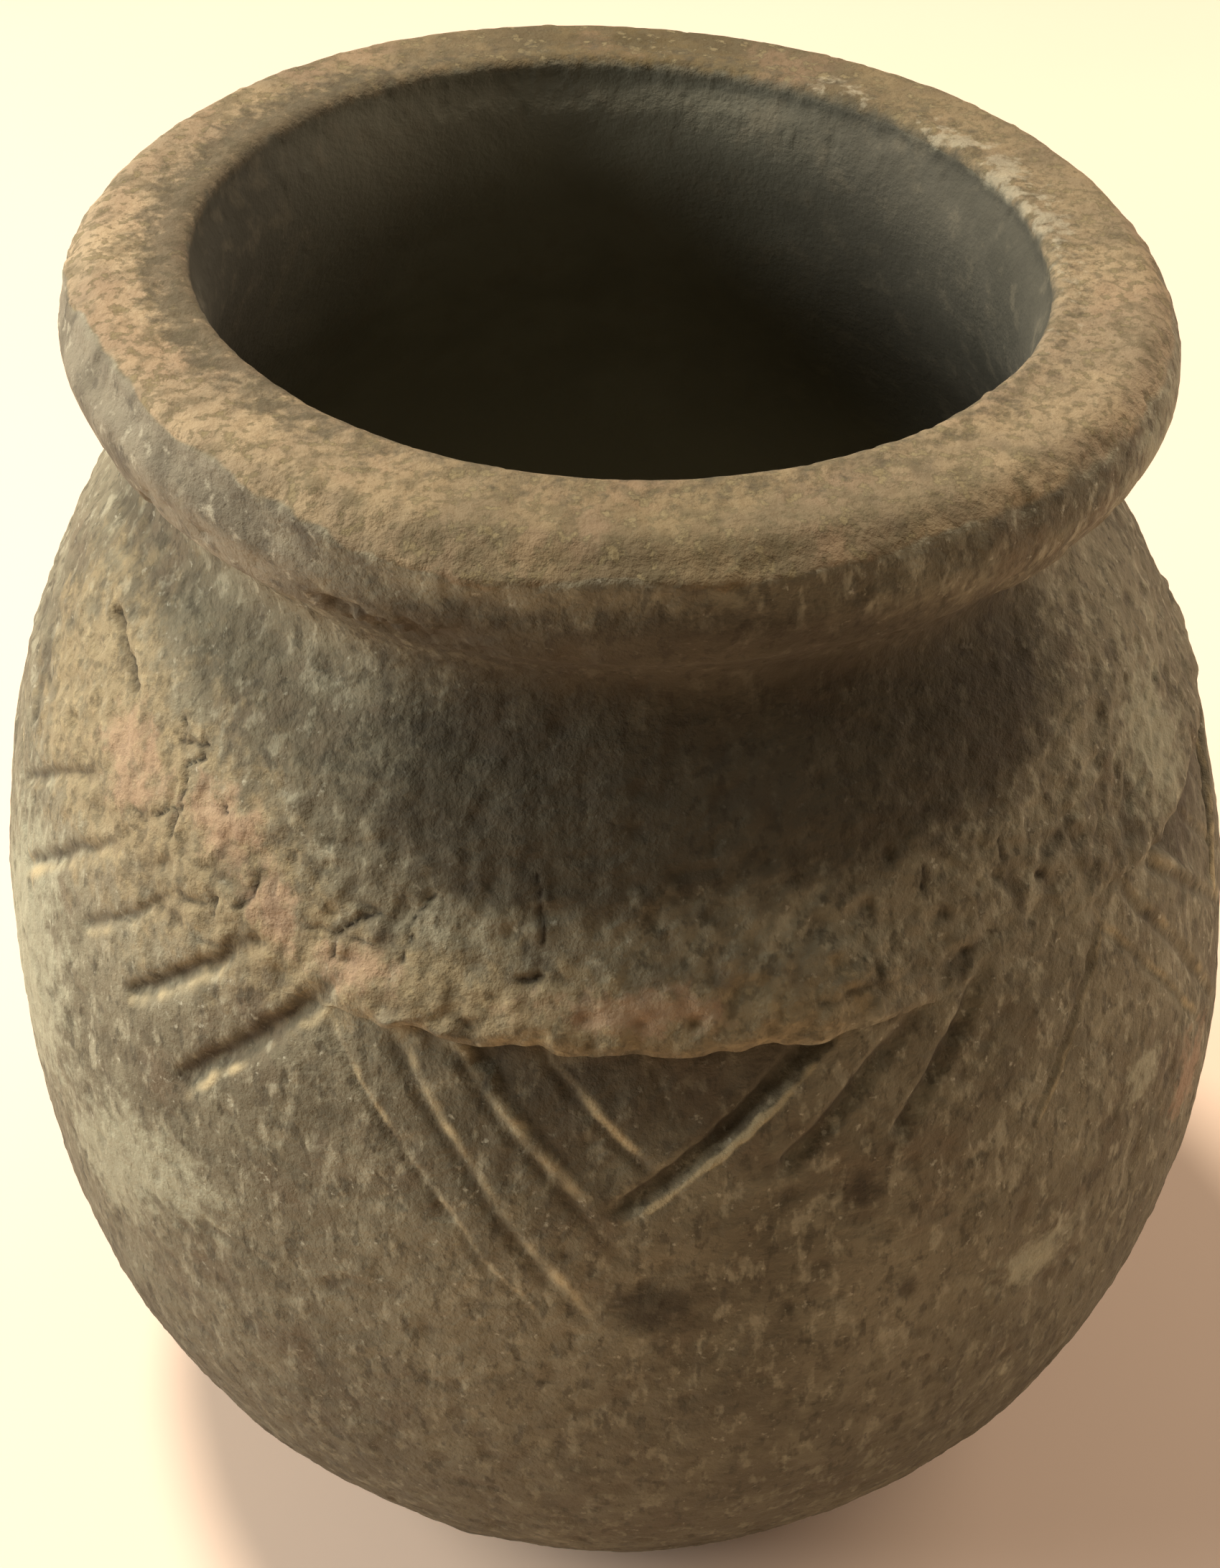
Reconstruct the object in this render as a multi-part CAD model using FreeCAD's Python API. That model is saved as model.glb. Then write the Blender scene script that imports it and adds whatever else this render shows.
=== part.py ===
import FreeCAD, Part
import math
import os

# A hand-built black clay jar: a pear-shaped body with a low belly, a short concave
# neck and a thick everted rim. The potter presses a base disc, raises the wall from
# ropes of clay, and adds a heavy rope for the rim. Each rope is bevelled where it laps
# the one below. Every rope of clay is a solid of its own here, and each joint is the
# bevelled face, a cone, that two neighbouring solids share.
# Millimetres. +Z is the axis of the jar, and the origin is on the surface it stands on.

V = FreeCAD.Vector
ORIGIN = V(0, 0, 0)
UP = V(0, 0, 1)

# Outside of the body: two half ellipses that meet at the belly
height = 170.0
belly_radius = 77.4
belly_height = 70.0
upper_rise = 107.0  # vertical half axis above the belly
lower_drop = 86.2  # vertical half axis below the belly, cut off by the flat base
heel_height = 5.0  # height over which the flat base rounds into the wall
foot_radius = 40.0  # radius of the flat base

# Wall
wall = 7.5
inner_drop = 66.0  # vertical half axis of the inside, below the belly
floor_height = 9.0  # the inside is cut off flat here

# Neck and rim, outside: radius and height of each point of the outline
body_top = 137.0  # height at which the body turns into the neck
neck = (52.5, 149.5)
rim_under_edge = (58.9, 158.4)
rim_widest = (60.5, 163.8)
rim_upper_edge = (59.2, 167.4)
rim_flat_radius = 55.5  # the top of the rim is flat inside this radius

# Mouth and throat, inside
mouth_radius = 47.0
mouth_rounding = 2.5
throat = (46.0, 155.0)
inner_body_top = 134.0

# The ledge: the rope above it laps over the outside of the wall and stands proud of it
ledge_height = 117.0
ledge_step = 1.4
ledge_fade = 12.0  # height over which the step fades into the shoulder

# Joints between the ropes of clay: height at the outside of the wall, and which side
# of the lower rope the upper one laps over (1 for the inside, -1 for the outside)
bevel = 30.0  # angle in degrees between a joint and the square cut through the wall
joints = (
    (2.5, 1),
    (25.0, 1),
    (47.5, 1),
    (belly_height, 1),
    (95.0, 1),
    (ledge_height, -1),
    (135.0, 1),
    (153.0, 1),
)
rope_names = (
    "base_disc",
    "lower_wall_coil",
    "middle_wall_coil",
    "lower_belly_coil",
    "upper_belly_coil",
    "lower_shoulder_coil",
    "ledge_coil",
    "neck_coil",
    "rim_coil",
)

# Incised band below the ledge: zigzags of hatched strokes, cut with a round-ended stick
# Azimuths are in degrees, from the front (-Y) towards +X, and the first zigzag is in front
zigzags = 5
stroke_radius = 1.3
stroke_depth = 1.0
span = 15.0  # longest straight stretch of a stroke, so that it follows the round wall
# Start azimuth, start height, end azimuth, end height
falling = (
    (-25.0, 116.0, -6.0, 82.0),
    (-19.0, 116.0, -2.0, 82.0),
    (-14.0, 116.0, 1.0, 92.0),
    (-6.5, 116.0, 5.0, 100.0),
)
rising = (
    (0.0, 98.0, 16.0, 114.0),
    (14.0, 103.0, 26.0, 115.0),
    (24.0, 103.0, 33.0, 115.0),
    (37.0, 97.0, 50.0, 116.0),
)
# The group left of the front one has an extra stroke, and they run up past the ledge
rising_left = (
    (-73.0, 110.5, -56.0, 124.0),
    (-68.0, 103.0, -51.0, 120.0),
    (-54.0, 107.0, -41.0, 120.0),
    (-46.0, 105.0, -33.0, 119.0),
    (-39.0, 98.0, -24.5, 118.5),
)


def point(radius, z):
    """A point of the section, in the half plane of +X."""
    return V(radius, 0, z)


def half_height(z, rise, drop):
    """The vertical half axis that holds at height z."""
    return rise if z > belly_height else drop


def radius_at(z, half_width, rise, drop):
    """Radius of a body outline at height z."""
    fraction = (z - belly_height) / half_height(z, rise, drop)
    return half_width * math.sqrt(1 - fraction**2)


def upward_at(z, half_width, rise, drop):
    """Unit vector along a body outline, upwards, at height z."""
    flattening = (half_width / half_height(z, rise, drop)) ** 2
    radius = radius_at(z, half_width, rise, drop)
    return V(-flattening * (z - belly_height) / radius, 0, 1).normalize()


outer = (belly_radius, upper_rise, lower_drop)
inner = (belly_radius - wall, upper_rise - wall, inner_drop)


def line(start, end):
    return Part.LineSegment(point(*start), point(*end)).toShape()


def smooth(points, start_direction, end_direction):
    """A curve through the points that starts and ends in the given directions."""
    curve = Part.BSplineCurve()
    curve.interpolate(
        Points=[point(*p) for p in points],
        InitialTangent=start_direction,
        FinalTangent=end_direction,
    )
    return curve.toShape()


def body_arc(outline, z_near, z_far):
    """The stretch of a body outline between two heights, the first one nearer the belly."""
    half_width, rise, drop = outline
    vertical = half_height(z_far, rise, drop)
    centre = point(0, belly_height)
    side = point(half_width, belly_height)
    tip = point(0, belly_height + math.copysign(vertical, z_far - belly_height))
    near = math.asin(abs(z_near - belly_height) / vertical)
    far = math.asin(abs(z_far - belly_height) / vertical)
    if vertical > half_width:
        ellipse = Part.Ellipse(tip, side, centre)
        return Part.ArcOfEllipse(ellipse, math.pi / 2 - far, math.pi / 2 - near).toShape()
    ellipse = Part.Ellipse(side, tip, centre)
    return Part.ArcOfEllipse(ellipse, near, far).toShape()


def base_edges():
    """The flat base, from the axis, and its rounding into the wall."""
    foot = (foot_radius, 0)
    heel = (radius_at(heel_height, *outer), heel_height)
    return [line((0, 0), foot), smooth((foot, heel), V(1, 0, 0), upward_at(heel_height, *outer))]


def ledge_edges():
    """The underside of the ledge, and the swell above it that fades into the shoulder."""
    below = (radius_at(ledge_height, *outer), ledge_height)
    lip = (below[0] + ledge_step, ledge_height)
    fade_height = ledge_height + ledge_fade
    above = (radius_at(fade_height, *outer), fade_height)
    swell = smooth((lip, above), upward_at(ledge_height, *outer), upward_at(fade_height, *outer))
    return [line(below, lip), swell]


def neck_and_rim_edges():
    """The outside from the top of the body, round the rim to its flat top."""
    start = (radius_at(body_top, *outer), body_top)
    end = (rim_flat_radius, height)
    outline = (start, neck, rim_under_edge, rim_widest, rim_upper_edge, end)
    return [smooth(outline, upward_at(body_top, *outer), V(-1, 0, 0))]


def inside_edges():
    """From the rim's flat top, round the mouth, down the inside and across the floor."""
    lip = (mouth_radius + mouth_rounding, height)
    mouth = (mouth_radius, height - mouth_rounding)
    start = (radius_at(inner_body_top, *inner), inner_body_top)
    return [
        line((rim_flat_radius, height), lip),
        smooth((start, throat, mouth, lip), upward_at(inner_body_top, *inner), V(1, 0, 0)),
        body_arc(inner, belly_height, inner_body_top),
        body_arc(inner, belly_height, floor_height),
        line((radius_at(floor_height, *inner), floor_height), (0, floor_height)),
    ]


def section():
    """The whole wall of the jar, cut from the axis outwards."""
    fade_height = ledge_height + ledge_fade
    edges = base_edges()
    edges += [body_arc(outer, belly_height, heel_height)]
    edges += [body_arc(outer, belly_height, ledge_height)]
    edges += ledge_edges()
    edges += [body_arc(outer, fade_height, body_top)]
    edges += neck_and_rim_edges()
    edges += inside_edges()
    edges += [line((0, floor_height), (0, 0))]
    return Part.Face(Part.Wire(Part.sortEdges(edges)[0]))


def joint_line(z, lap):
    """A joint in the section: a straight cut drawn past both sides of the wall."""
    if z > body_top:
        place = point(neck[0], z)
        square = 0.0
    else:
        place = point(radius_at(z, *outer), z)
        along = upward_at(z, *outer)
        square = math.atan2(-along.x, along.z)
    angle = square + lap * math.radians(bevel)
    direction = V(math.cos(angle), 0, math.sin(angle))
    return place - direction * (4 * wall), place + direction * wall


def rope_regions():
    """Areas of the section that hold one rope of clay each, from the base upwards."""
    lines = [joint_line(z, lap) for z, lap in joints]
    below = (point(-wall, -wall), point(2 * belly_radius, -wall))
    above = (point(throat[0] - wall, height + wall), point(belly_radius, height + wall))
    regions = []
    for low, high in zip([below] + lines, lines + [above]):
        regions.append([low[0], low[1], high[1], high[0]])
    regions[0].append(point(-wall, lines[0][0].z))
    return [Part.Face(Part.makePolygon(corners + corners[:1])) for corners in regions]


def surface_point(azimuth, z):
    """A point above the outside of the wall, from which a stroke is cut."""
    angle = math.radians(azimuth)
    radius = radius_at(z, *outer) + stroke_radius - stroke_depth
    return V(radius * math.sin(angle), -radius * math.cos(angle), z)


def stroke(azimuth_0, z_0, azimuth_1, z_1):
    """Straight round bars that follow the wall from the start to the end of a stroke."""
    length = (surface_point(azimuth_1, z_1) - surface_point(azimuth_0, z_0)).Length
    count = math.ceil(length / span)
    places = []
    for step in range(count + 1):
        share = step / count
        azimuth = azimuth_0 + share * (azimuth_1 - azimuth_0)
        places.append(surface_point(azimuth, z_0 + share * (z_1 - z_0)))
    bars = []
    for start, end in zip(places, places[1:]):
        run = end - start
        bars.append(Part.makeCylinder(stroke_radius, run.Length, start, run))
    return bars


def band():
    """Every stroke of the incised band, round the jar."""
    bars = []
    for index in range(zigzags):
        turn = index * 360.0 / zigzags
        group = falling if index == zigzags - 1 else falling + rising
        for azimuth_0, z_0, azimuth_1, z_1 in group:
            bars += stroke(turn + azimuth_0, z_0, turn + azimuth_1, z_1)
    for ends in rising_left:
        bars += stroke(*ends)
    return bars


def main():
    os.makedirs("parts", exist_ok=True)
    wall_section = section()
    bars = band()
    for name, area in zip(rope_names, rope_regions()):
        rope = wall_section.common(area).Faces[0].revolve(ORIGIN, UP, 360)
        near = [bar for bar in bars if bar.BoundBox.intersect(rope.BoundBox)]
        if near:
            rope = rope.cut(near)
        solid = rope.Solids[0]
        solid.exportStep("parts/" + name + ".step")
        box = solid.BoundBox
        print(name, len(rope.Solids), round(solid.Volume), round(box.ZMin, 2), round(box.ZMax, 2))


main()
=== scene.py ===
import math
from typing import NamedTuple

import bpy
import numpy as np
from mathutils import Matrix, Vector


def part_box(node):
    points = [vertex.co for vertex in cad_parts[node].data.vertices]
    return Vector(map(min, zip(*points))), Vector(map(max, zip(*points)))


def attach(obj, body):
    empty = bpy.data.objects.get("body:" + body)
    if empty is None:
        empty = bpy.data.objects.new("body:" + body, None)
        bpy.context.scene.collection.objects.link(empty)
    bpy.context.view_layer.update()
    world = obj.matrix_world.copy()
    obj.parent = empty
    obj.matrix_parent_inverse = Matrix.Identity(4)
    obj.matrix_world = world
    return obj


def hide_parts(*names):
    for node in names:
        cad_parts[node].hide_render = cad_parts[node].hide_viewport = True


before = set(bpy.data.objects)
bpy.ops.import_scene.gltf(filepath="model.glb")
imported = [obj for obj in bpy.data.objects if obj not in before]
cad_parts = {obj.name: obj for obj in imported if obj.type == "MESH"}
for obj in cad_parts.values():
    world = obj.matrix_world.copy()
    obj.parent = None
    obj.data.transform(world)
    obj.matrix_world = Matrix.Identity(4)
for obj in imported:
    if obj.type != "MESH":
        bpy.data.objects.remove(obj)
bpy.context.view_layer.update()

# The jar's surface is worked out in millimetres and written to the meshes in metres.
MM = 0.001
AROUND = 900  # points round every ring of the jar

# ---------------------------------------------------------------------------
# Sizes: the heights and widths come from the frame, the rest shapes the outline
# ---------------------------------------------------------------------------


def low_z(node):
    """The lowest height of a node of the frame."""
    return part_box(node)[0].z / MM


def high_z(node):
    """The highest height of a node of the frame."""
    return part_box(node)[1].z / MM


HEIGHT = high_z("rim_coil")
RIM_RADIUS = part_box("rim_coil")[1].x / MM
BELLY_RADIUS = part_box("lower_belly_coil")[1].x / MM
BELLY_HEIGHT = high_z("lower_belly_coil")
WALL = 7.5
UPPER_RISE = 107.0
LOWER_DROP = 86.2
INNER_DROP = 66.0
FOOT_RADIUS = 40.0
HEEL_HEIGHT = 5.0
BODY_TOP = 137.0
# The neck, the rim and the throat: pairs are a radius and a height
NECK = (52.5, 149.5)
RIM_UNDER_EDGE = (58.9, 158.4)
RIM_WIDEST = (RIM_RADIUS, 163.8)
RIM_UPPER_EDGE = (59.2, 167.4)
RIM_FLAT_RADIUS = 55.5
MOUTH_RADIUS = 47.0
MOUTH_ROUNDING = 2.5
THROAT = (46.0, 155.0)
INNER_BODY_TOP = 134.0
FLOOR_HEIGHT = 9.0
# Each side of the body is two half ellipses: half width, rise over the belly and drop below it
OUTSIDE = (BELLY_RADIUS, UPPER_RISE, LOWER_DROP)
INSIDE = (BELLY_RADIUS - WALL, UPPER_RISE - WALL, INNER_DROP)

# The ropes of clay from the base up, and the height of each joint at both sides of the wall
ROPES = (
    "base_disc",
    "lower_wall_coil",
    "middle_wall_coil",
    "lower_belly_coil",
    "upper_belly_coil",
    "lower_shoulder_coil",
    "ledge_coil",
    "neck_coil",
    "rim_coil",
)
LEDGE_ROPE = ROPES.index("ledge_coil")
LEDGE_HEIGHT = low_z("ledge_coil")
JOINTS_OUTSIDE = (
    low_z("lower_wall_coil"),
    high_z("lower_wall_coil"),
    high_z("middle_wall_coil"),
    high_z("lower_belly_coil"),
    high_z("upper_belly_coil"),
    low_z("ledge_coil"),
    high_z("ledge_coil"),
    high_z("neck_coil"),
)
JOINTS_INSIDE = (
    high_z("base_disc"),
    low_z("middle_wall_coil"),
    low_z("lower_belly_coil"),
    low_z("upper_belly_coil"),
    low_z("lower_shoulder_coil"),
    high_z("lower_shoulder_coil"),
    low_z("neck_coil"),
    low_z("rim_coil"),
)

ARC_RADIUS = BELLY_RADIUS - 5.0  # where arcs of the incised band are measured

# Row spacing of the meshes along the wall, and rows inside a joint face
FINE = 0.46
RIM_FINE = 0.56
COARSE = 1.4
JOINT_ROWS = 3
POLE_GAP = 0.6  # from the axis to the first row round it

# Hand-made irregularity
TILTS = ((40.0, 0.0), (117.0, 1.5), (150.0, 2.4))  # height, degrees its level falls towards +X
LEAN = 0.02  # the body leans towards -X as it rises, up to the ledge
LEAN_MIDDLE = 75.0  # the height that the lean leaves in place
RIM_SHIFT = 1.05  # the rim sits off the middle of the body, towards +X
MOUTH_NARROWING = 0.015  # a share of the radius
KINK = (52.0, 7.0, 0.008)  # a flatter place in the mouth: azimuth, half width, share of the radius
LOW_SWELL = 0.5  # the lower body is a little fuller than its ellipse
LEDGE_STEP = 1.8
LEDGE_FADE = 12.0  # how far up the wall the step of the ledge takes to die out
CRUMBLY_TOP = 142.0  # clay crumbles between the ledge and this height
RECESS_DEPTH = 1.1
RECESS_DROP = 20.0
RECESS_SIDES = (-13.0, 20.0)  # azimuths of its upper corners, from the middle of a zigzag

# The worn top of the rim: how far down the side it reaches, and how pale it is, by azimuth; the
# paleness is wear together with painted light, lightest on the left and darkest on the far side
RIM_EDGE = (
    (-180, 2.5), (-85, 2.5), (-70, 1.2), (-54, 0.8), (-38, 1.7), (-26, 3.2),
    (-14, 3.9), (0, 3.0), (13, 3.3), (30, 2.2), (60, 2.6), (180, 2.5),
)
RIM_WEAR_AND_LIGHT = ((-180, 0.0), (-135, 0.4), (-90, 0.8), (-45, 0.65), (0, 0.2), (70, 0.6), (180, 0.0))
RIM_LOWER_EDGE = HEIGHT - 12.5


class Stroke(NamedTuple):
    """An incised stroke: its start, its end, its size, and the painted highlight along its lower
    edge.
    """

    az_0: float
    z_0: float
    az_1: float
    z_1: float
    half_width: float
    depth: float
    # The pale edge is a painted highlight on the stroke's gentle lower wall: pale is its strength,
    # the next two its place and width
    pale: float  # how pale the edge is
    highlight_middle: float  # how far the edge is from the stroke
    highlight_width: float


# Strokes of one zigzag, and those left of the front one, as the values of a Stroke
FALLING = (
    (-24.9, 116.0, -6.2, 82.2, 0.6, 0.35, 0.5, 0.6, 0.55),
    (-19.2, 116.6, -1.8, 81.3, 1.0, 0.45, 0.5, 1.0, 0.9),
    (-13.9, 116.8, 0.9, 92.0, 1.0, 0.45, 0.4, 1.1, 1.1),
    (-6.5, 116.6, 5.2, 99.7, 0.8, 0.4, 0.5, 0.8, 0.7),
    (2.9, 115.4, 5.2, 106.9, 0.5, 0.3, 0.25, 0.5, 0.5),
)
RISING = (
    (-0.2, 97.7, 16.5, 115.0, 1.45, 1.3, 1.3, 1.45, 0.34),
    (13.0, 101.5, 26.5, 116.0, 1.6, 1.1, 0.15, 1.6, 0.4),
    (23.5, 102.0, 34.0, 117.0, 1.5, 1.0, 0.2, 1.5, 0.4),
    (37.0, 96.0, 51.0, 117.0, 0.7, 0.45, 0.4, 0.9, 0.4),
)
RISING_LEFT = (
    (-73.0, 110.5, -56.0, 124.5, 1.4, 0.7, 0.4, 0.9, 0.8),
    (-68.5, 102.5, -50.7, 120.0, 1.4, 0.7, 0.5, 0.9, 0.9),
    (-54.5, 106.9, -41.1, 120.0, 1.1, 0.5, 0.4, 0.9, 0.7),
    (-46.5, 104.6, -32.5, 119.3, 1.6, 1.3, 0.6, 0.95, 0.95),
    (-39.5, 98.2, -24.3, 118.6, 1.9, 1.4, 0.65, 1.35, 0.75),
)
ZIGZAGS = 5

# Cracks and gouges on the shoulder: half width, depth, then azimuths and heights
CRACKS = (
    (0.65, 1.6, ((-63.5, 138.0), (-61.0, 137.4), (-58.5, 136.7), (-56.5, 135.5), (-55.0, 134.8))),
    (0.3, 0.8, ((-46.6, 135.8), (-46.0, 133.5), (-43.0, 135.1), (-42.6, 133.5), (-44.2, 132.3))),
    (0.26, 0.8, ((-44.2, 132.3), (-43.7, 130.4), (-43.8, 128.1), (-44.9, 127.5), (-46.3, 126.6))),
    (0.24, 0.7, ((-43.8, 128.1), (-43.9, 125.0))),
    (0.35, 0.7, ((-33.2, 126.4), (-33.5, 124.6), (-34.4, 122.5))),
    (0.35, 0.7, ((-37.0, 122.0), (-37.2, 120.4))),
    (0.28, 0.7, ((-24.1, 122.4), (-24.1, 124.6), (-22.3, 126.1), (-21.0, 126.9))),
    (0.25, 0.6, ((-6.7, 133.2), (-6.4, 130.6), (-6.0, 129.1), (-6.1, 127.6))),
    (0.24, 0.5, ((-16.1, 129.8), (-17.8, 126.8), (-18.1, 123.6))),
    (0.28, 0.6, ((29.6, 130.2), (29.3, 128.2))),
    (0.25, 0.5, ((38.2, 129.0), (38.5, 127.3))),
    (0.5, 0.8, ((42.2, 123.9), (42.7, 123.5))),
    (0.7, 0.9, ((-7.4, 124.0), (-6.3, 124.4))),
    (0.45, 0.9, ((-38.3, 131.2), (-38.0, 130.9))),
    (0.45, 0.7, ((-10.6, 113.0), (-10.4, 112.6))),
)

# ---------------------------------------------------------------------------
# Seeded noise, evaluated on whole arrays of points
# ---------------------------------------------------------------------------


def lattice(cells, seed):
    """A repeatable value from -1 to 1 for each integer cell."""
    x, y, z = (cells[..., i].astype(np.uint64) for i in range(3))
    mixed = x * np.uint64(374761393) + y * np.uint64(668265263) + z * np.uint64(2147483647)
    mixed = (mixed + np.uint64(seed * 974634777)) & np.uint64(0xFFFFFFFF)
    mixed = ((mixed ^ (mixed >> np.uint64(13))) * np.uint64(1274126177)) & np.uint64(0xFFFFFFFF)
    mixed = mixed ^ (mixed >> np.uint64(16))
    return mixed.astype(float) / 2147483647.5 - 1.0


def noise(points, size, seed):
    """Smooth value noise from -1 to 1 whose features measure about size."""
    scaled = points / size + 1000.0
    cell = np.floor(scaled).astype(np.int64)
    part = scaled - cell
    part = part * part * part * (part * (part * 6 - 15) + 10)
    total = np.zeros(points.shape[:-1])
    for corner in range(8):
        offset = np.array([corner & 1, corner >> 1 & 1, corner >> 2 & 1])
        weight = np.prod(np.where(offset == 1, part, 1 - part), axis=-1)
        total += weight * lattice(cell + offset, seed)
    return total


def rough(points, size, seed, octaves):
    """Several octaves of noise, each half as large and half as strong."""
    total = np.zeros(points.shape[:-1])
    for octave in range(octaves):
        total += noise(points, size / 2**octave, seed + octave) / 2**octave
    return total


def ramp(value, low, high):
    """0 below low, 1 above high and smooth between; it falls if high is under low."""
    share = np.clip((value - low) / (high - low), 0, 1)
    return share * share * (3 - 2 * share)


# ---------------------------------------------------------------------------
# The outline: from the middle of the base, up the outside, over the rim and down inside
# ---------------------------------------------------------------------------


def body_stretch(shape, z_start, z_end, count=200):
    """Points along one side of the body between two heights."""
    _, rise, drop = shape
    vertical = rise if max(z_start, z_end) > BELLY_HEIGHT else drop
    angles = np.linspace(body_angle(shape, z_start), body_angle(shape, z_end), count)
    z = BELLY_HEIGHT + vertical * np.sin(angles)
    return np.c_[body_radius(z, shape), z]


def body_angle(shape, z):
    """Angle along the half ellipse at a height, in radians: 0 at the belly, negative below."""
    _, rise, drop = shape
    return math.asin((z - BELLY_HEIGHT) / (rise if z > BELLY_HEIGHT else drop))


def body_radius(z, shape):
    """Radius of one side of the body at a height, or heights."""
    half_width, rise, drop = shape
    vertical = np.where(np.asarray(z) > BELLY_HEIGHT, rise, drop)
    return half_width * np.sqrt(1 - ((z - BELLY_HEIGHT) / vertical) ** 2)


def body_direction(shape, z):
    """Unit direction along the body, upwards."""
    half_width, rise, drop = shape
    vertical = rise if z > BELLY_HEIGHT else drop
    run = -((half_width / vertical) ** 2) * (z - BELLY_HEIGHT) / float(body_radius(z, shape))
    return np.array([run, 1.0]) / math.hypot(run, 1.0)


def curve(points, start, end, count=200):
    """A cubic spline through the points with given unit directions at its ends."""
    points = np.array(points, float)
    chord = np.hypot(*np.diff(points, axis=0).T)
    knots = np.r_[0, np.cumsum(chord)]
    size = len(points)
    matrix = np.eye(size)
    slopes = np.zeros((size, 2))
    slopes[0], slopes[-1] = start, end
    for i in range(1, size - 1):
        before, after = chord[i - 1], chord[i]
        matrix[i, i - 1 : i + 2] = after, 2 * (before + after), before
        rise = (points[i + 1] - points[i]) / after * before
        slopes[i] = 3 * (rise + (points[i] - points[i - 1]) / before * after)
    slopes = np.linalg.solve(matrix, slopes)
    at = np.linspace(0, knots[-1], count)
    span = np.clip(np.searchsorted(knots, at, side="right") - 1, 0, size - 2)
    width = chord[span]
    t = ((at - knots[span]) / width)[:, None]
    width = width[:, None]
    return (
        (2 * t**3 - 3 * t**2 + 1) * points[span]
        + (t**3 - 2 * t**2 + t) * width * slopes[span]
        + (-2 * t**3 + 3 * t**2) * points[span + 1]
        + (t**3 - t**2) * width * slopes[span + 1]
    )


def straight(start, end, count=60):
    return np.linspace(start, end, count)


def outline():
    """Points of the section: the outside up to the lip, and the inside down to the floor."""
    heel = (float(body_radius(HEEL_HEIGHT, OUTSIDE)), HEEL_HEIGHT)
    shoulder = (float(body_radius(BODY_TOP, OUTSIDE)), BODY_TOP)
    rim = (shoulder, NECK, RIM_UNDER_EDGE, RIM_WIDEST, RIM_UPPER_EDGE, (RIM_FLAT_RADIUS, HEIGHT))
    lip = (MOUTH_RADIUS + MOUTH_ROUNDING, HEIGHT)
    mouth = (MOUTH_RADIUS, HEIGHT - MOUTH_ROUNDING)
    inner_top = (float(body_radius(INNER_BODY_TOP, INSIDE)), INNER_BODY_TOP)
    floor_edge = float(body_radius(FLOOR_HEIGHT, INSIDE))
    outside = [
        straight((0, 0), (FOOT_RADIUS, 0)),
        curve(((FOOT_RADIUS, 0), heel), (1, 0), body_direction(OUTSIDE, HEEL_HEIGHT)),
        body_stretch(OUTSIDE, HEEL_HEIGHT, BELLY_HEIGHT),
        body_stretch(OUTSIDE, BELLY_HEIGHT, BODY_TOP),
        curve(rim, body_direction(OUTSIDE, BODY_TOP), (-1, 0), 500),
        straight((RIM_FLAT_RADIUS, HEIGHT), lip),
    ]
    inside = [
        curve((lip, mouth, THROAT, inner_top), (-1, 0), -body_direction(INSIDE, INNER_BODY_TOP)),
        body_stretch(INSIDE, INNER_BODY_TOP, BELLY_HEIGHT),
        body_stretch(INSIDE, BELLY_HEIGHT, FLOOR_HEIGHT),
        straight((floor_edge, FLOOR_HEIGHT), (0, FLOOR_HEIGHT)),
    ]
    return np.concatenate(outside), np.concatenate(inside)


def joined(outer, inner):
    """The section without doubled points, its length along itself, and where the lip is."""
    points = np.concatenate([outer, inner])
    steps = np.hypot(*np.diff(points, axis=0).T)
    kept = np.r_[True, steps > 1e-6]
    points = points[kept]
    length = np.r_[0, np.cumsum(np.hypot(*np.diff(points, axis=0).T))]
    lip = length[np.count_nonzero(kept[: len(outer)]) - 1]
    return points, length, lip


SECTION, LENGTH, LIP = joined(*outline())
TANGENT = np.gradient(SECTION, LENGTH, axis=0)
TANGENT /= np.hypot(TANGENT[:, 0], TANGENT[:, 1])[:, None]
NORMAL = np.c_[TANGENT[:, 1], -TANGENT[:, 0]]


def along_outside(z):
    """Length along the section at a height, or heights, on the outside."""
    chosen = LENGTH <= LIP
    return np.interp(z, SECTION[chosen, 1], LENGTH[chosen])


def along_inside(z):
    """Length along the section at a height on the inside."""
    chosen = LENGTH > LIP
    return float(np.interp(-z, -SECTION[chosen, 1], LENGTH[chosen]))


def at_length(length, values):
    """A two-column quantity of the section at the given lengths."""
    return np.interp(length, LENGTH, values[:, 0]), np.interp(length, LENGTH, values[:, 1])


# ---------------------------------------------------------------------------
# The incised band, the ledge, cracks and chips
# ---------------------------------------------------------------------------


def all_strokes():
    """Every stroke round the jar, with small changes from one zigzag to the next."""
    chance = np.random.default_rng(7)
    found = [Stroke(*row) for row in FALLING + RISING + RISING_LEFT]
    for index in range(1, ZIGZAGS):
        turn = index * 360.0 / ZIGZAGS
        # The last zigzag has RISING_LEFT in place of its rising strokes
        for row in FALLING if index == ZIGZAGS - 1 else FALLING + RISING:
            stroke = Stroke(*row)
            lean, drop = chance.uniform(-1.6, 1.6), chance.uniform(-2.0, 2.0)
            found.append(stroke._replace(
                az_0=stroke.az_0 + turn + lean,
                az_1=stroke.az_1 + turn - lean,
                z_1=stroke.z_1 + drop,
                depth=stroke.depth * chance.uniform(0.85, 1.25),
            ))
    return found


def from_segment(across, up, start, end):
    """Distance from a segment, share of the way along it, and side, + above it."""
    run = np.array(end) - np.array(start)
    size = float(np.hypot(*run))
    share = ((across - start[0]) * run[0] + (up - start[1]) * run[1]) / size**2
    side = (run[0] * (up - start[1]) - run[1] * (across - start[0])) / size
    near = np.clip(share, 0, 1)
    gap = np.hypot(across - start[0] - near * run[0], up - start[1] - near * run[1])
    return gap, share, side


def local(azimuth, middle):
    """Arc from a middle azimuth, in millimetres."""
    return np.radians((azimuth - middle + 180.0) % 360.0 - 180.0) * ARC_RADIUS


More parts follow.
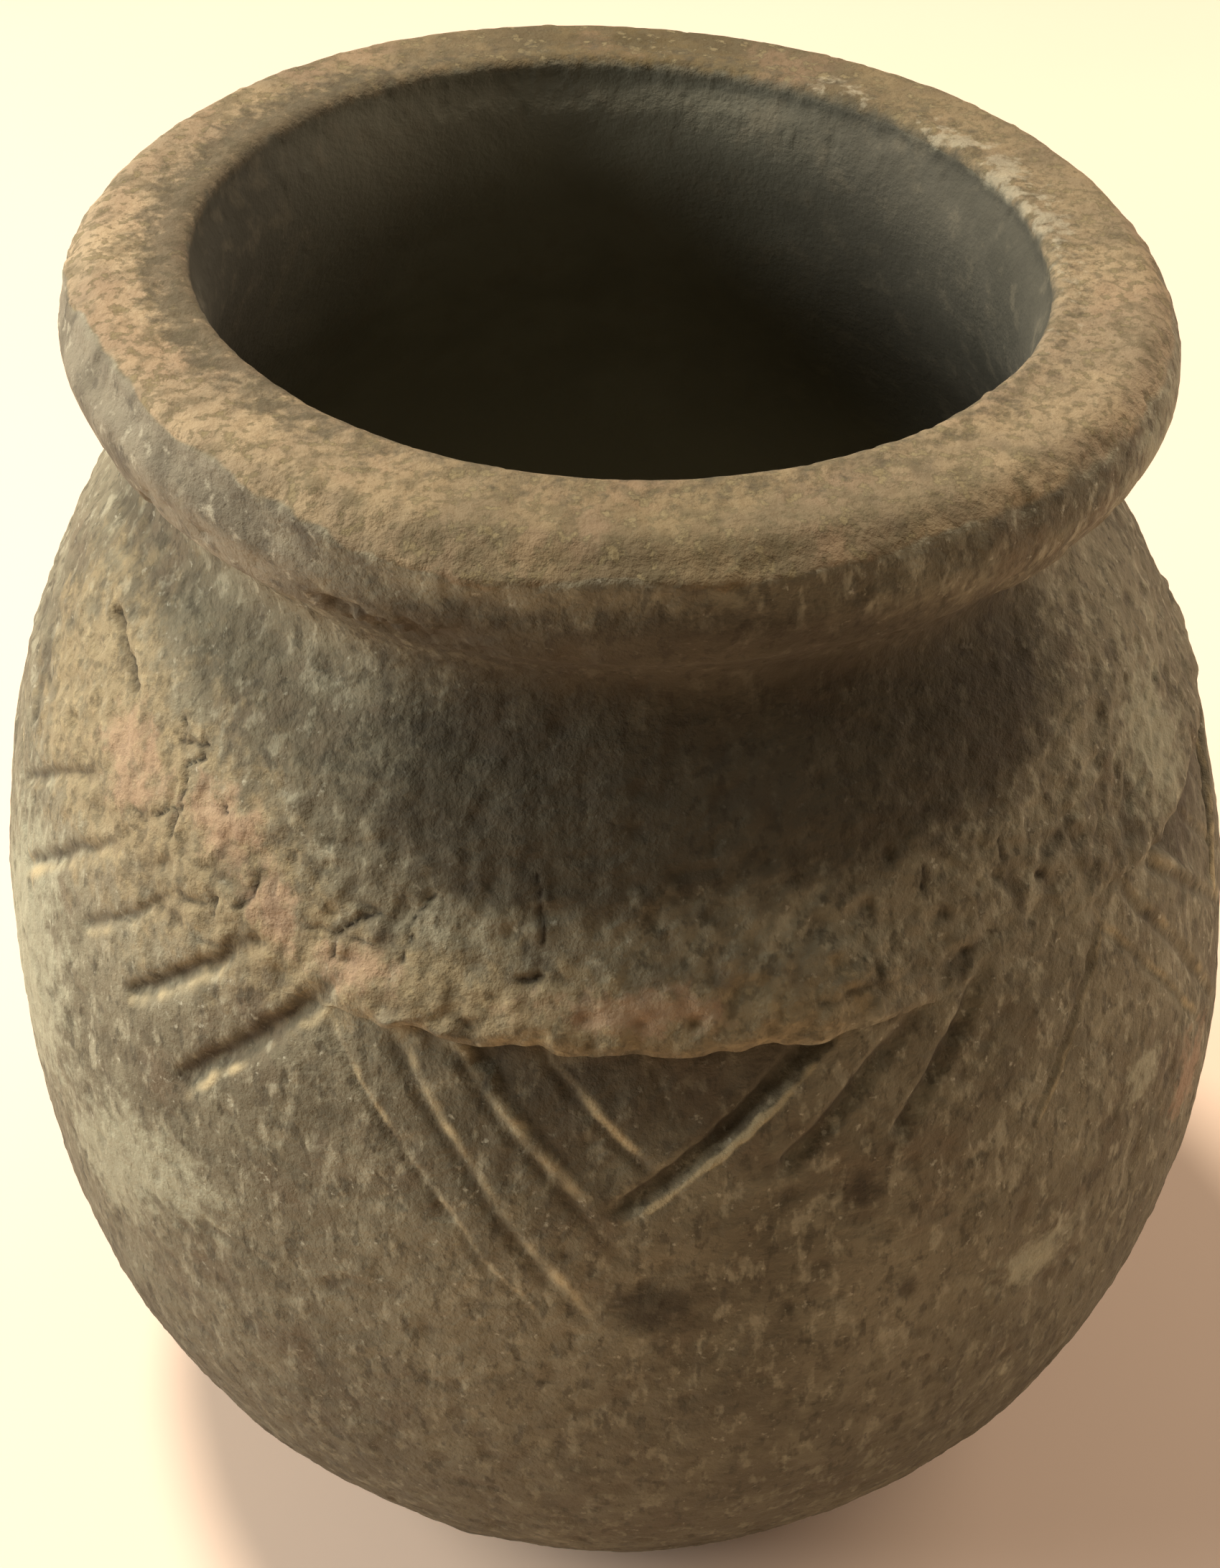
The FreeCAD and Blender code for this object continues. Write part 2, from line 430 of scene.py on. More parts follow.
def cut_across(stroke, upward, share):
    """How deep a stroke is cut, as a share of its depth, and the distance from its bottom."""
    taper = ramp(share, -0.02, 0.1) * (0.35 + 0.65 * ramp(share, 1.05, 0.7))
    bottom = upward - 0.25 * stroke.half_width
    width = np.where(bottom > 0, 0.55, 0.95) * stroke.half_width
    return taper * np.exp(-(np.abs(bottom / width) ** 2.2)), bottom


def incised(azimuth, length, points):
    """Relief of the strokes, and masks for painted shade on their steep side and a painted
    highlight on their gentle side.
    """
    groove, ridge, dark, lip = np.zeros((4, *azimuth.shape))
    wander = 0.35 * noise(points, 6.0, 51) + 0.22 * noise(points, 1.8, 52)
    patchy = 0.65 + 0.6 * noise(points, 6.0, 53) + 0.5 * noise(points, 1.9, 54)
    for stroke in all_strokes():
        middle = (stroke.az_0 + stroke.az_1) / 2
        start = (float(local(stroke.az_0, middle)), along_outside(stroke.z_0))
        end = (float(local(stroke.az_1, middle)), along_outside(stroke.z_1))
        if length.max() < min(start[1], end[1]) - 4 or length.min() > max(start[1], end[1]) + 4:
            continue  # these rows are clear of the stroke
        gap, share, side = from_segment(local(azimuth, middle), length, start, end)
        steep_side = 1.0 if stroke.z_1 > stroke.z_0 else -1.0
        upward = steep_side * np.sign(side) * gap + wander
        cut, bottom = cut_across(stroke, upward, share)
        # Painted highlight: a pale band along the gentle lower wall
        lip_at = (upward + stroke.highlight_middle) / stroke.highlight_width
        within = ramp(share, -0.04, 0.04) * ramp(share, 1.03, 0.95)
        edge = within * np.exp(-(lip_at**2)) * patchy
        groove = np.maximum(groove, stroke.depth * cut)
        ridge = np.maximum(ridge, 0.12 * stroke.depth * edge)
        # Painted shade: dark on the steep upper wall and at the bottom
        dark = np.maximum(dark, cut * np.clip(stroke.depth, 0, 1) * ramp(bottom, -0.7, 0.4))
        lip = np.maximum(lip, edge * stroke.pale)
    return ridge - groove, dark, lip


def cracked(azimuth, length, points):
    """Depth of the cracks and gouges, and a mask for them."""
    deepest, mask = np.zeros((2, *azimuth.shape))
    wander = 0.5 * noise(points, 2.4, 61) + 0.3 * noise(points, 1.0, 62)
    for half_width, depth, path in CRACKS:
        middle = path[0][0]
        places = [(float(local(az, middle)), along_outside(z)) for az, z in path]
        for start, end in zip(places, places[1:]):
            gap, _, side = from_segment(local(azimuth, middle), length, start, end)
            gap = np.abs(gap + wander * np.sign(side))
            cut = np.exp(-((gap / half_width) ** 2))
            deepest = np.maximum(deepest, depth * cut)
            mask = np.maximum(mask, cut)
    return deepest, mask


def zigzag_place(azimuth):
    """Azimuth counted from the middle of the nearest zigzag."""
    pitch = 360.0 / ZIGZAGS
    return (azimuth + pitch / 2) % pitch - pitch / 2


def from_front(azimuth):
    """Azimuth from -180 to 180."""
    return (azimuth + 180.0) % 360.0 - 180.0


def kept_ledge(turn):
    """0 left of the front zigzag, where the ledge is worn away, and 1 elsewhere."""
    return 1 - ramp(turn, -130.0, -112.0) * ramp(turn, -27.0, -31.0)


def ledge_wave(azimuth, length):
    """How far the ragged edge of the ledge strays along the wall."""
    angle = np.radians(azimuth)
    ring = np.stack([np.sin(angle), -np.cos(angle), 0 * angle], axis=-1) * ARC_RADIUS
    near = np.exp(-(((length - along_outside(LEDGE_HEIGHT)) / 5.0) ** 2))
    return near * (0.8 * noise(ring, 7.0, 71) + 0.6 * noise(ring, 2.6, 72))


def ledge_amount(azimuth):
    """0 to 1: the ledge stands out over each zigzag, and most of all over the front one."""
    place = zigzag_place(azimuth)
    over = ramp(place, -30.0, -17.0) * ramp(place, 31.0, 22.0)
    turn = from_front(azimuth)
    front = ramp(np.abs(turn - 2.0), 50.0, 34.0)
    return over * (0.4 + 0.6 * front) * kept_ledge(turn)


def recess(azimuth, length, ragged):
    """0 to 1: the triangle below the ledge, cut back between its falling and rising strokes."""
    across = np.radians(zigzag_place(azimuth)) * ARC_RADIUS
    top, tip = along_outside(LEDGE_HEIGHT), along_outside(LEDGE_HEIGHT - RECESS_DROP)
    left, right = np.radians(RECESS_SIDES) * ARC_RADIUS
    down = (top - length) / (top - tip)
    inside = np.minimum(across - left * (1 - down), right * (1 - down) - across) + ragged
    return ramp(inside, -0.3, 1.4) * ramp(down, 1.05, 0.1) * kept_ledge(from_front(azimuth))


# ---------------------------------------------------------------------------
# The surface: where each point of the outline goes on the hand-made jar
# ---------------------------------------------------------------------------


def uneven(points, z):
    """Relief of the bumps, grains and pits all over the outside, and a mask for the pits."""
    upright = points * np.array([1.0, 1.0, 0.3])
    relief = 0.5 * rough(points, 36.0, 1, 2)
    relief += 0.16 * noise(points, 11.0, 5)
    relief += 0.12 * noise(points, 5.0, 6)
    relief += 0.1 * noise(upright, 2.3, 7)
    relief += 0.06 * noise(points, 1.5, 8)
    relief += 0.04 * noise(points, 0.9, 9)
    relief += LOW_SWELL * ramp(z, 15.0, 35.0) * ramp(z, 70.0, 45.0)
    pits = ramp(noise(points, 2.6, 11), 0.45, 0.8)
    grains = ramp(noise(points, 1.6, 13), 0.5, 0.85)
    relief += 0.1 * grains - 0.2 * pits
    return relief, pits


def crumbled(points, z):
    """Relief of the crumbling clay over the ledge, and a mask for its fissures."""
    crumbly = ramp(z, LEDGE_HEIGHT - 3.0, LEDGE_HEIGHT + 1.0)
    crumbly = crumbly * ramp(z, CRUMBLY_TOP, CRUMBLY_TOP - 10.0)
    relief = crumbly * (0.16 * noise(points, 4.6, 15) + 0.22 * noise(points, 1.4, 16))
    relief -= crumbly * 0.3 * ramp(noise(points, 2.0, 14), 0.5, 0.85)
    fissure = np.exp(-((noise(points, 3.6, 81) / 0.17) ** 2))
    fissure *= ramp(noise(points, 6.0, 82), 0.0, 0.5)
    fissure *= crumbly * ramp(z, CRUMBLY_TOP - 8.0, CRUMBLY_TOP - 16.0)
    return relief - 0.3 * fissure, fissure


def relief_outside(azimuth, length, points, z, above_ledge):
    """How far the outside stands off the outline, and its stroke, crack and pit masks; the stroke
    mask also carries painted shade in the recess.
    """
    relief, pits = uneven(points, z)
    crumbs, fissure = crumbled(points, z)
    strokes, dark, lip = incised(azimuth, length, points)
    crack, crack_mask = cracked(azimuth, length, points)
    relief += crumbs + strokes - 0.7 * crack
    crack_mask = np.maximum(crack_mask, 0.55 * fissure)

    ragged = 0.6 * noise(points, 3.0, 17) + 0.4 * noise(points, 1.4, 18)
    if above_ledge:
        edge = along_outside(LEDGE_HEIGHT)
        swell = ramp(length, edge + LEDGE_FADE, edge + 1.5)
        rounded = 0.6 + 0.4 * ramp(length, edge, edge + 1.0)
        relief += ledge_amount(azimuth) * LEDGE_STEP * swell * rounded * (1 + 0.4 * ragged)
    else:
        hollow = recess(azimuth, length, 1.2 * ragged)
        relief -= RECESS_DEPTH * hollow * (1 + 0.25 * noise(points, 5.0, 19))
        # Painted shade in the recess below the ledge
        dark = np.maximum(dark, 0.75 * hollow)
    return relief, (dark, lip, crack_mask), pits


def rim_edge(turn):
    """Length along the section at which the worn top of the rim meets its side."""
    turns, drops = zip(*RIM_EDGE)
    return along_outside(HEIGHT - np.interp(turn, turns, drops))


def relief_rim(azimuth, length, points, z):
    """The rim's two edges, chips along the lower one, and coarse grain on top."""
    turn = from_front(azimuth)
    upper_edge, lower_edge = rim_edge(turn), along_outside(RIM_LOWER_EDGE)
    crisp = 0.15 + 0.85 * ramp(turn, -110.0, -70.0) * ramp(turn, 40.0, -5.0)
    relief = crisp * 0.5 * np.exp(-(((length - upper_edge) / 1.1) ** 2))
    relief -= crisp * 0.45 * np.exp(-(((length - upper_edge + 3.0) / 1.8) ** 2))
    relief += 0.5 * np.exp(-(((length - lower_edge) / 1.8) ** 2))
    relief += 0.85 * np.exp(-(((length - LIP - 2.0) / 1.25) ** 2))
    ragged = ramp(turn, -95.0, -75.0) * ramp(turn, -8.0, -22.0)
    under = np.exp(-(((length - lower_edge) / 3.0) ** 2))
    chips = ramp(rough(points, 4.5, 21, 3), 0.05, 0.75)
    relief -= under * (0.4 + 1.2 * ragged) * chips
    top = ramp(z, HEIGHT - 9.0, HEIGHT - 6.0)
    relief += top * (0.08 * noise(points, 3.0, 23) + 0.07 * noise(points, 1.3, 26))
    relief += top * 0.1 * ramp(noise(points, 1.5, 24), 0.4, 0.8)
    relief -= top * 0.14 * ramp(noise(points, 2.0, 25), 0.5, 0.85)
    edge = np.exp(-(((length - upper_edge) / 1.3) ** 2))
    relief -= edge * 0.4 * ramp(rough(points, 3.5, 27, 3), 0.2, 0.95)
    return relief, under * chips * (0.35 + 0.65 * ragged)


def relief_inside(points):
    """Finger marks and wiping inside."""
    level = points * np.array([0.35, 0.35, 1.0])
    relief = 0.5 * noise(points, 30.0, 31) + 0.35 * noise(level, 9.0, 32)
    relief += 0.08 * noise(points, 4.0, 33) + 0.02 * noise(points, 1.8, 34)
    return relief


def fall_at(z):
    """How much the jar's levels fall towards +X at a height, per millimetre."""
    heights, angles = zip(*TILTS)
    return np.tan(np.radians(np.interp(z, heights, angles)))


def relief_at(azimuth, length, points, z, above_ledge):
    """How far the finished surface stands off the outline, and a mask for each kind of mark."""
    out = length < LIP
    outside, marks, pits = relief_outside(azimuth, length, points, z, above_ledge)
    rim, chipped = relief_rim(azimuth, length, points, z)
    relief = np.where(out, outside * ramp(z, HEIGHT - 12.0, HEIGHT - 20.0), 0)
    relief += ramp(z, HEIGHT - 22.0, HEIGHT - 18.0) * rim
    relief += ramp(length, LIP, LIP + 12.0) * relief_inside(points)
    # Calm at the middle of the base and of the floor, and nothing under the base
    relief *= ramp(np.hypot(points[..., 0], points[..., 1]), 2.0, 12.0)
    relief = np.where(out & (z < 1.0), np.minimum(relief, 0) * z.clip(0, 1), relief)
    return relief, np.stack([*marks, np.maximum(pits * 0.6, chipped)], axis=-1)


def place(length, above_ledge=False):
    """Rings of finished points at lengths along the section, with their colour masks."""
    length = np.asarray(length, float)
    azimuth = np.linspace(0, 360, AROUND, endpoint=False)[None, :] + np.zeros((len(length), 1))
    angle = np.radians(azimuth)
    along = length[:, None] + 0 * azimuth
    wavy = along + ledge_wave(azimuth, along)
    radius, z = at_length(wavy, SECTION)
    normal_out, normal_up = at_length(wavy, NORMAL)
    points = np.stack([radius * np.sin(angle), -radius * np.cos(angle), z], axis=-1)
    relief, marks = relief_at(azimuth, along, points, z, above_ledge)

    new_radius = (radius + relief * normal_out) * (1 + out_of_round(azimuth, z, along))
    x = new_radius * np.sin(angle) + sideways(z)
    y = -new_radius * np.cos(angle)
    new_z = z + relief * normal_up - x * fall_at(z)
    masks = {
        "marks": marks,
        "patches": patches(azimuth, z),
        "rim_parts": rim_parts(azimuth, points, z, along),
        "rim_wear_and_light": rim_wear_and_light(azimuth),
        "into_mouth": along - LIP,
        "inside_far_light": inside_far_light(azimuth),
    }
    return np.stack([x, y, new_z], axis=-1), masks


def out_of_round(azimuth, z, along):
    """Share by which the radius differs from a circle, mostly at the mouth."""
    angle = np.radians(azimuth)
    body = 0.003 * np.cos(2 * angle + 0.6) + 0.003 * np.cos(3 * angle + 2.0)
    mouth = 0.003 * np.cos(5 * angle + 1.0) * ramp(z, 80.0, 155.0)
    past_lip = ramp(along, LIP - 6.0, LIP)
    narrower = MOUTH_NARROWING * past_lip * ramp(z, 140.0, 160.0)
    kink_at, kink_width, kink_depth = KINK
    kink = np.exp(-(((azimuth - kink_at) / kink_width) ** 2)) * past_lip * ramp(z, 150.0, 165.0)
    return body * ramp(z, 3.0, 30.0) + mouth - narrower - kink_depth * kink


def sideways(z):
    """Shift along X: the lean of the body, and a rim off the middle of the body."""
    return LEAN * (LEAN_MIDDLE - np.minimum(z, LEDGE_HEIGHT)) + RIM_SHIFT * ramp(z, 147.0, 162.0)


# ---------------------------------------------------------------------------
# Colour patches, as masks stored on the meshes
# ---------------------------------------------------------------------------


def spot(azimuth, z, middle, height, across, tall):
    """A soft blot: across and tall are its half sizes in millimetres."""
    away = (local(azimuth, middle) / across) ** 2 + ((z - height) / tall) ** 2
    return np.exp(-away)


# Blots: azimuth, height, half width, half height
PINK = (
    (-52.0, 128.5, 8.0, 5.0),
    (-38.0, 129.5, 6.0, 3.5),
    (-31.0, 124.0, 4.0, 3.5),
    (-22.5, 121.5, 5.0, 2.5),
    (2.0, 121.5, 12.0, 2.5),
    (62.0, 80.0, 6.0, 7.0),
    (160.0, 92.0, 16.0, 12.0),
    (235.0, 126.0, 10.0, 6.0),
)
PALE_AND_LIT = (
    (-42.0, 85.0, 10.0, 7.0),
    (-50.0, 76.0, 8.0, 7.0),
    # Painted light: the next two make the right of the rim's side and of the shoulder paler
    (66.0, 160.0, 18.0, 8.0),
    (64.0, 126.0, 10.0, 9.0),
    (52.0, 90.5, 4.0, 4.0),
    (37.5, 76.0, 6.0, 4.5),
    (-66.0, 96.0, 14.0, 18.0),
    (14.0, 54.5, 0.7, 2.6),
    (36.0, 56.0, 0.7, 2.4),
    (-72.0, 84.0, 10.0, 12.0),
    (120.0, 62.0, 16.0, 9.0),
    (200.0, 80.0, 12.0, 10.0),
    (262.0, 68.0, 14.0, 9.0),
)
# Soot blots; the broad ones under the rim at the front neck, rim side and shoulder are painted
# shadow of the rim
SOOT_AND_RIM_SHADOW = (
    (3.0, 85.0, 6.5, 4.5),
    (38.0, 146.0, 22.0, 10.0),
    (24.0, 81.5, 2.0, 1.8),
    (20.0, 97.0, 3.0, 2.6),
    (4.0, 146.0, 42.0, 11.0),
    (-2.0, 159.0, 44.0, 6.5),
    (20.0, 140.0, 30.0, 10.0),
    (-10.0, 136.0, 16.0, 7.0),
    (150.0, 114.0, 24.0, 16.0),
    (220.0, 50.0, 22.0, 14.0),
    (100.0, 88.0, 9.0, 8.0),
)
TAN = (
    (-8.0, 121.0, 24.0, 5.0),
    (14.0, 120.0, 16.0, 4.0),
    (-40.0, 124.0, 20.0, 12.0),
    (-62.0, 130.0, 20.0, 16.0),
    (210.0, 122.0, 26.0, 8.0),
    (110.0, 134.0, 20.0, 10.0),
)


def patches(azimuth, z):
    """Masks for pink clay, pale deposit with some painted light, soot with the painted shadow of
    the rim, and tan clay.
    """
    kinds = []
    for group in (PINK, PALE_AND_LIT, SOOT_AND_RIM_SHADOW, TAN):
        kinds.append(np.clip(sum(spot(azimuth, z, *blot) for blot in group), 0, 1))
    return np.stack(kinds, axis=-1)


def rim_parts(azimuth, points, z, along):
    """Masks for the rim's worn top, its ash-grey side, and its sooty and pale inner edge."""
    turn = from_front(azimuth)
    ragged = 0.8 * rough(points, 5.0, 41, 3)
    edge = rim_edge(turn) + ragged
    soft = 0.8 + 1.6 * ramp(turn, 15.0, 60.0)
    top = ramp(along, edge - soft, edge + soft) * ramp(along, LIP + 3.2, LIP + 2.2)
    left = ramp(turn, -125.0, -90.0) * ramp(turn, -6.0, -40.0)
    side = ramp(z, HEIGHT - 17.0, HEIGHT - 12.0) * (1 - top) * (along < LIP)
    border = ramp(along, LIP - 6.5, LIP + 0.5) * ramp(along, LIP + 5.0, LIP + 3.0)
    dark_left = ramp(turn, -160.0, -120.0) * ramp(turn, -20.0, -60.0)
    sooty = border * (0.45 + 0.55 * dark_left)
    deposit = ramp(along, LIP - 4.0, LIP + 0.5) * ramp(along, LIP + 4.0, LIP + 2.5)
    deposit *= 0.35 + 0.65 * ramp(turn, 85.0, 105.0)
    deposit *= ramp(turn, 30.0, 75.0) * ramp(turn, 165.0, 135.0)
    return np.stack([top, side * left, sooty, deposit], axis=-1)


def rim_wear_and_light(azimuth):
    """How pale the worn top of the rim is: wear together with painted light, lightest on the left.
    """
    turns, wear_and_light = zip(*RIM_WEAR_AND_LIGHT)
    return np.interp(from_front(azimuth), turns, wear_and_light)


def inside_far_light(azimuth):
    """Painted light on the inside: only its far side is paler, as if lit from the front."""
    return ramp(np.abs(from_front(azimuth - 195.0)), 60.0, 15.0)


# ---------------------------------------------------------------------------
# Meshes: one closed piece for each rope of clay
# ---------------------------------------------------------------------------


def steps(start, end, spacing):
    """Lengths from start to end, both included, about spacing apart."""
    return np.linspace(start, end, max(2, round(abs(end - start) / spacing) + 1))


def bridge(start, end):
    """Rings for a joint face, between the last of some rings and the first of others."""
    shares = np.linspace(0, 1, JOINT_ROWS + 2)[1:-1, None, None]
    masks = {}
    for name in start[1]:
        first, last = start[1][name][-1:], end[1][name][:1]
        shape = shares if first.ndim == 3 else shares[..., 0]
        masks[name] = first + shape * (last - first)
    return start[0][-1:] + shares * (end[0][:1] - start[0][-1:]), masks


def rows_of(parts):
    """Joins lists of rings and their masks."""
    names = parts[0][1]
    masks = {name: np.concatenate([part[1][name] for part in parts]) for name in names}
    return np.concatenate([part[0] for part in parts]), masks


def quads(rows, closed):
    """Faces between neighbouring rings, with the last joined to the first if closed."""
    bands = rows if closed else rows - 1
    row, column = np.meshgrid(np.arange(bands), np.arange(AROUND), indexing="ij")
    next_row, next_column = (row + 1) % rows, (column + 1) % AROUND
    corners = [
        row * AROUND + column,
        row * AROUND + next_column,
        next_row * AROUND + next_column,
        next_row * AROUND + column,
    ]
    return np.stack(corners, axis=-1).reshape(-1, 4)


def write_masks(mesh, masks, poles):
    """Stores the colour masks on the points of a mesh, whose last points are its poles."""
    for name, values in masks.items():
        flat = values.reshape(len(values) * AROUND, -1)
        flat = np.concatenate([flat] + [flat[:1]] * poles).astype(np.float32)
        kind, field = ("FLOAT_COLOR", "color") if flat.shape[1] == 4 else ("FLOAT", "value")
        attribute = mesh.attributes.new(name, kind, "POINT")
        attribute.data.foreach_set(field, flat.ravel())


def mark_sharp(mesh, rings):
    """Makes the edges along some rings sharp."""
    edges = np.empty(len(mesh.edges) * 2, dtype=np.int32)
    mesh.edges.foreach_get("vertices", edges)
    ring = edges.reshape(-1, 2) // AROUND
    sharp = (ring[:, 0] == ring[:, 1]) & np.isin(ring[:, 0], rings)
    attribute = mesh.attributes.new("sharp_edge", "BOOLEAN", "EDGE")
    attribute.data.foreach_set("value", sharp)


def rope_mesh(name, rings, masks, corners, poles=False):
    """A closed mesh from rings; with poles, its first and last rings close on the axis."""
    points = rings.reshape(-1, 3)
    faces = quads(len(rings), not poles).tolist()
    if poles:
        bottom, top = len(points), len(points) + 1
        first, last = rings[0].mean(axis=0), rings[-1].mean(axis=0)
        points = np.concatenate([points, [first], [last]])
        shift = (len(rings) - 1) * AROUND
        for j in range(AROUND):
            after = (j + 1) % AROUND
            faces.append([bottom, after, j])
            faces.append([top, shift + j, shift + after])
    mesh = bpy.data.meshes.new(name)
    mesh.from_pydata((points * MM).tolist(), [], faces)
    write_masks(mesh, masks, 2 if poles else 0)
    mesh.shade_smooth()
    mark_sharp(mesh, corners)
    piece = bpy.data.objects.new(name, mesh)
    bpy.context.scene.collection.objects.link(piece)
    return piece


def rim_rings(out_low, in_low, above):
    """The rim's rings, up the outside, over the lip and down to its joint inside."""
    throat = LIP + 8.0
    lengths = np.r_[steps(out_low, throat, RIM_FINE), steps(throat, in_low, COARSE)[1:]]
    return [place(lengths, above)], [0, len(lengths) - 1]


def wall_rings(index, out_low, in_low, above):
    """Rings up the outside of a rope, across its upper joint and down its inside."""
    out_high = along_outside(JOINTS_OUTSIDE[index])
    in_high = along_inside(JOINTS_INSIDE[index])
    outer = place(steps(out_low, out_high, COARSE if index == 0 else FINE), above)
    inner = place(steps(in_high, in_low, COARSE), above)
    joint = bridge(outer, inner)
    inner_start = len(outer[0]) + len(joint[0])
    corners = [0, len(outer[0]) - 1, inner_start, inner_start + len(inner[0]) - 1]
    return [outer, joint, inner], corners


def rope(index):
    """One rope of clay, from the joint below it to the joint above it."""
    first, last = index == 0, index == len(ROPES) - 1
    out_low = POLE_GAP if first else along_outside(JOINTS_OUTSIDE[index - 1])
    in_low = LENGTH[-1] - POLE_GAP if first else along_inside(JOINTS_INSIDE[index - 1])
    above = index >= LEDGE_ROPE
    if last:
        parts, corners = rim_rings(out_low, in_low, above)
    else:
        parts, corners = wall_rings(index, out_low, in_low, above)
    if first:
        corners = corners[1:]  # its first ring is on the flat base
    elif index == LEDGE_ROPE:  # the ledge overhangs, so its lower joint starts on the wall below
        below = place([out_low])
        corners.append(sum(len(part[0]) for part in parts) + JOINT_ROWS)
        parts += [bridge(parts[-1], below), below]
    else:
        parts.append(bridge(parts[-1], parts[0]))
    rings, masks = rows_of(parts)
    return rope_mesh(ROPES[index] + "_clay", rings, masks, corners, first)


# ---------------------------------------------------------------------------
# Materials
# ---------------------------------------------------------------------------


def linear(red, green, blue):
    """A screen colour, 0 to 255, as a linear colour."""

    def channel(value):
        value /= 255.0
        return value / 12.92 if value <= 0.04045 else ((value + 0.055) / 1.055) ** 2.4

    return (channel(red), channel(green), channel(blue), 1.0)


# The body
OLIVE_GREY = linear(121, 112, 90)
UMBER = linear(98, 90, 71)
REDDISH = linear(114, 97, 76)
BUFF = linear(138, 131, 107)
SMOKE = linear(78, 72, 56)
PALE_FLECK = linear(157, 150, 125)
DARK_FLECK = linear(68, 62, 48)
LIGHT_GRAIN = linear(176, 170, 147)
LOW_BODY_SHADE = linear(60, 56, 46)

# The rim, and its ash-grey side; pairs are the two ends of a broad mottle
# The worn top's two pairs are a lit and a shaded copy, mixed by azimuth as wear and painted light
WORN_PALE_LIT = linear(158, 138, 110), linear(174, 152, 120)
WORN_DEEP_SHADED = linear(74, 63, 40), linear(92, 78, 50)
WORN_REDDISH = linear(138, 112, 88)
RIM_SMOKE = linear(88, 78, 56)
RIM_DARK_GRAIN = linear(62, 55, 38)
RIM_PALE_GRAIN = linear(142, 126, 92)
SIDE_ASH = linear(124, 115, 96), linear(98, 90, 74)
SIDE_DARK = linear(66, 60, 50)
SIDE_PALE = linear(170, 162, 138)
LIP_SOOT = linear(74, 66, 50)
LIP_DEPOSIT = linear(156, 146, 122)

# The inside
# The first pair is painted light: the far inner wall made paler, as if lit from the front
INSIDE_FAR_LIT = linear(116, 111, 93), linear(129, 124, 105)
INSIDE_SOOT = linear(72, 68, 56), linear(84, 79, 66)
INSIDE_DABS = linear(118, 108, 88)
INSIDE_DEEP = linear(142, 137, 118)

# Patches and marks
TAN_CLAY = linear(142, 125, 93)
TAN_SHADE = linear(82, 71, 49)
TAN_GRAIN = linear(168, 149, 110)
PINK_CLAY = linear(166, 134, 108)
# Pale crust, and painted light on the right of the rim's side and shoulder
PALE_CRUST_AND_LIT = linear(160, 156, 130)
# Soot, and the painted shadow of the rim on the front neck, rim side and shoulder
SOOT_AND_RIM_SHADOW_TONE = linear(49, 42, 30)
# Painted shade in strokes, the recess, cracks, chips and pits, and a painted highlight on the
# strokes' lower edges
STROKE_SHADE = linear(60, 52, 41)
STROKE_HIGHLIGHT = linear(166, 150, 115)
CRACK_SHADE = linear(44, 36, 27)
CHIP_SHADE = linear(74, 64, 50)

FLOOR_TONES = linear(236, 206, 180), linear(240, 211, 187)


class Shader:
    """Short calls that add nodes to one material."""

    def __init__(self, name):
        self.material = bpy.data.materials.new(name)
        self.material.use_nodes = True
        self.tree = self.material.node_tree
        self.surface = self.tree.nodes["Principled BSDF"]
        self.place = self.add("ShaderNodeTexCoord").outputs["Object"]

    def add(self, kind, **settings):
        node = self.tree.nodes.new(kind)
        for key, value in settings.items():
            setattr(node, key, value)
        return node

    def link(self, source, target):
        self.tree.links.new(source, target)

    def put(self, value, socket):
        """Sets a socket to a number or colour, or links an output to it."""
        if isinstance(value, bpy.types.NodeSocket):
            self.link(value, socket)
        else:
            socket.default_value = value

    def maths(self, operation, first, second):
        node = self.add("ShaderNodeMath", operation=operation)
        self.put(first, node.inputs[0])
        self.put(second, node.inputs[1])
        return node.outputs[0]

    def height(self):
        """Height over the floor, in metres."""
        split = self.add("ShaderNodeSeparateXYZ")
        self.link(self.place, split.inputs[0])
        return split.outputs["Z"]

    def stretched(self, x, y, z):
        node = self.add("ShaderNodeMapping")
        self.link(self.place, node.inputs["Vector"])
        node.inputs["Scale"].default_value = (x, y, z)
        return node.outputs[0]

    def grain(self, size, detail=3.0, roughness=0.55, place=None):
        """Noise whose features measure about size millimetres."""
        node = self.add("ShaderNodeTexNoise")
        self.link(place or self.place, node.inputs["Vector"])
        node.inputs["Scale"].default_value = 1.0 / (size * MM)
        node.inputs["Detail"].default_value = detail
        node.inputs["Roughness"].default_value = roughness
        return node.outputs["Fac"]

    def between(self, value, low, high):
        """0 below low and 1 above high."""
        node = self.add("ShaderNodeMapRange", interpolation_type="SMOOTHSTEP")
        self.put(value, node.inputs["Value"])
        node.inputs["From Min"].default_value = low
        node.inputs["From Max"].default_value = high
        return node.outputs["Result"]

    def mix(self, share, first, second):
        node = self.add("ShaderNodeMix", data_type="RGBA")
        factor, _, _, _, _, _, low, high = list(node.inputs)[:8]
        self.put(share, factor)
        self.put(first, low)
        self.put(second, high)
        return node.outputs[2]

    def dabs(self, colour, tone, size, low, high, strength, place=None):
        """Lays a tone over a colour where noise of a size, in millimetres, is high."""
        share = self.between(self.grain(size, 4.0, 0.6, place), low, high)
        return self.mix(self.maths("MULTIPLY", share, strength), colour, tone)

    def masks(self, name):
        """The four channels of a colour stored on the mesh."""
        stored = self.add("ShaderNodeAttribute", attribute_name=name)
        split = self.add("ShaderNodeSeparateColor")
        self.link(stored.outputs["Color"], split.inputs[0])
        return [*split.outputs, stored.outputs["Alpha"]]

    def number(self, name):
        return self.add("ShaderNodeAttribute", attribute_name=name).outputs["Fac"]

    def bump(self, height, distance, strength, normal=None):
        node = self.add("ShaderNodeBump")
        self.link(height, node.inputs["Height"])
        node.inputs["Distance"].default_value = distance * MM
        self.put(strength, node.inputs["Strength"])
        if normal:
            self.link(normal, node.inputs["Normal"])
        return node.outputs["Normal"]


